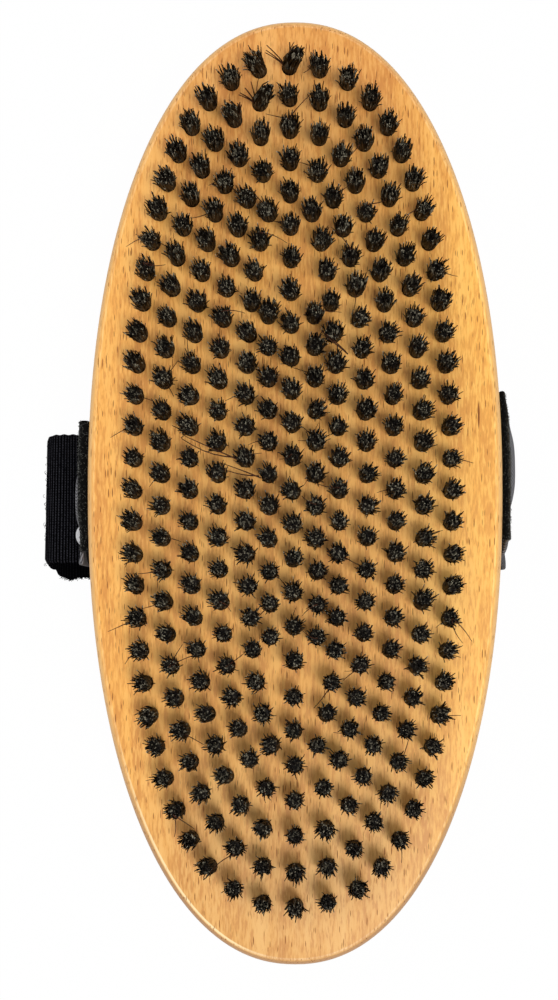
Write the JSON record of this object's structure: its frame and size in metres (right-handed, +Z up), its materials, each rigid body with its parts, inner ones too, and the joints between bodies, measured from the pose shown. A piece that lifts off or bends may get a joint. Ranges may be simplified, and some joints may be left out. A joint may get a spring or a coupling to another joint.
{
  "type": "horsehair bristle brush",
  "caption": "Oval wooden brush with short dark horsehair tufts in nested rings and a black hand strap, elastic on one side, closed by hook and loop tape.",
  "frame": {"origin": "on the flat underside of the elastic band, under the centre of the wooden block, on the surface that the strap lies on", "axes": "+Y along the brush, +X across it towards the webbing side of the strap, +Z up from the strap towards the bristle tips"},
  "size_m": [0.1041, 0.1966, 0.0478],
  "materials": {
    "beech": "golden beech, sanded and lightly oiled, fine dark pore flecks along the length",
    "horsehair": "brown-black horsehair, slightly glossy",
    "webbing": "black woven polyamide webbing, matt",
    "elastic": "black elastic with fine crosswise ribs, matt",
    "hook_tape": "black hook tape, slightly shiny",
    "loop_tape": "black loop tape, fuzzy",
    "steel": "zinc plated steel"
  },
  "bodies": {
    "brush": {"face_board": "beech", "back_board": "beech", "tuft_ring_1": "horsehair", "tuft_ring_2": "horsehair", "tuft_ring_3": "horsehair", "tuft_ring_4": "horsehair", "tuft_ring_5": "horsehair", "tuft_ring_6": "horsehair", "tuft_centre_row": "horsehair", "left_tab": "webbing", "elastic_band": "elastic", "right_strap": "webbing", "loop_tape": "loop_tape", "left_screw": "steel", "left_washer": "steel", "right_screw": "steel", "right_washer": "steel"},
    "tail": {"strap_tail": "elastic", "hook_tape": "hook_tape"}
  },
  "joints": [
    {"name": "tail_peel", "type": "hinge", "parent": "brush", "child": "tail", "pos_m": [0.006, 0, 0], "axis": [0, 1, 0], "range_deg": [0, 110]}
  ]
}
